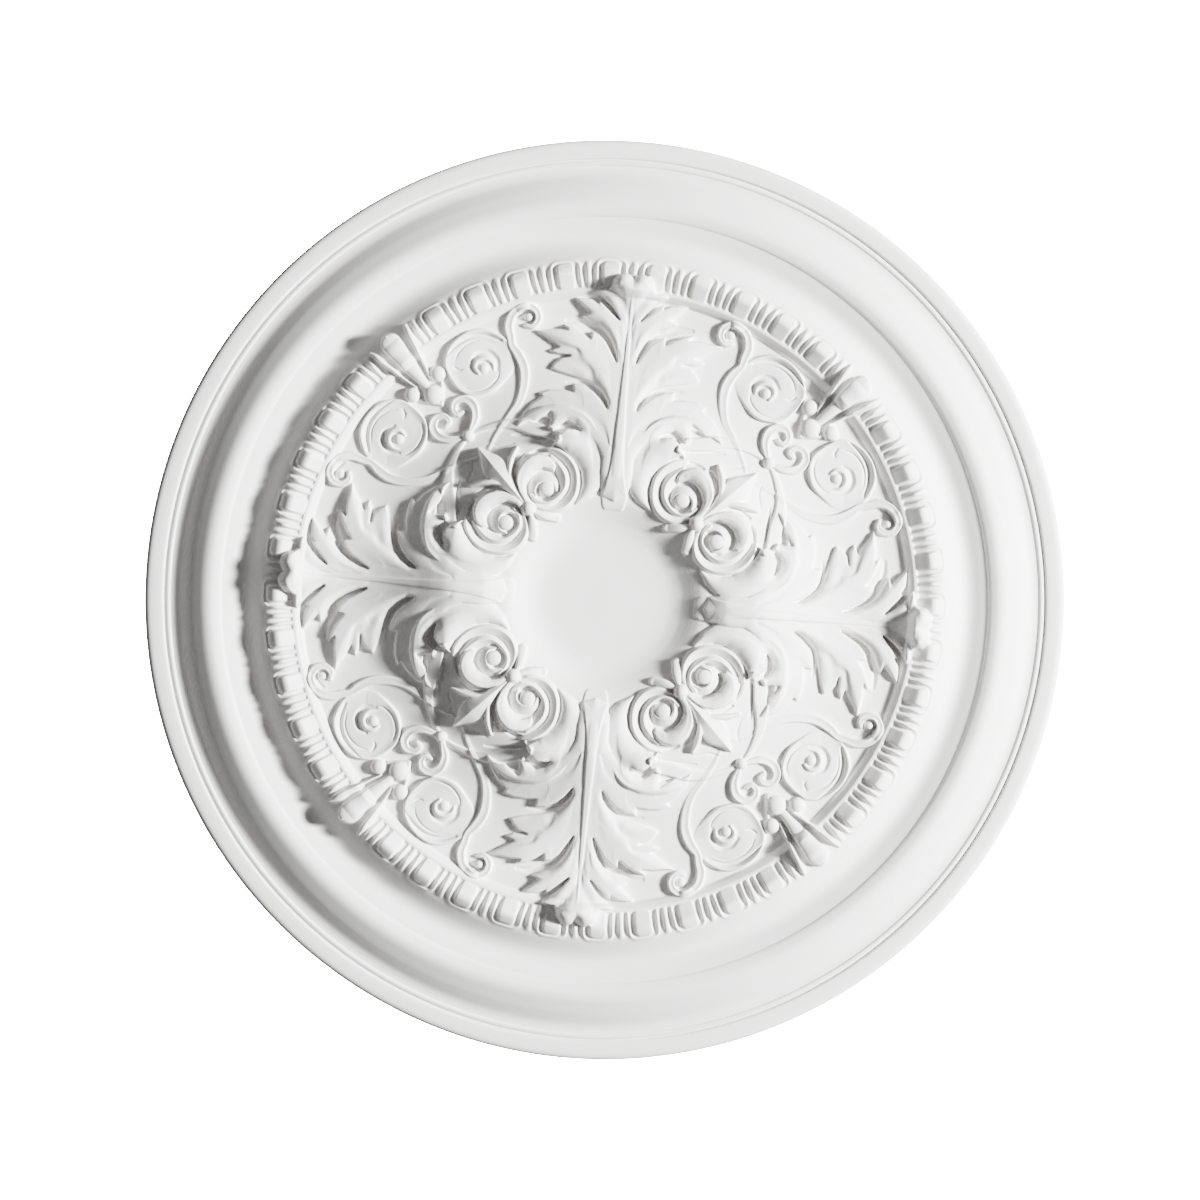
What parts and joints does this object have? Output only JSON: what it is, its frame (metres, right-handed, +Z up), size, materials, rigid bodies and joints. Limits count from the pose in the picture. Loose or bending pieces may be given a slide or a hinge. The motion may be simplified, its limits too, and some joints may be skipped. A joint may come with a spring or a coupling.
{
  "type": "ceiling rose",
  "caption": "Round moulded ceiling rose with stepped ring mouldings, an egg-and-dart ring, acanthus leaves and scrollwork around a plain centre disc for a lamp's ceiling cup.",
  "frame": {"origin": "centre of the flat back, which lies against the ceiling", "axes": "+Z up into the ceiling, carving facing -Z; leaf middle lines along +X, +Y, -X and -Y"},
  "size_m": [0.7, 0.7, 0.0606],
  "materials": {
    "casting": "matt white primed cast polyurethane"
  },
  "bodies": {
    "root": {"ceiling_rose": "casting"}
  },
  "joints": []
}
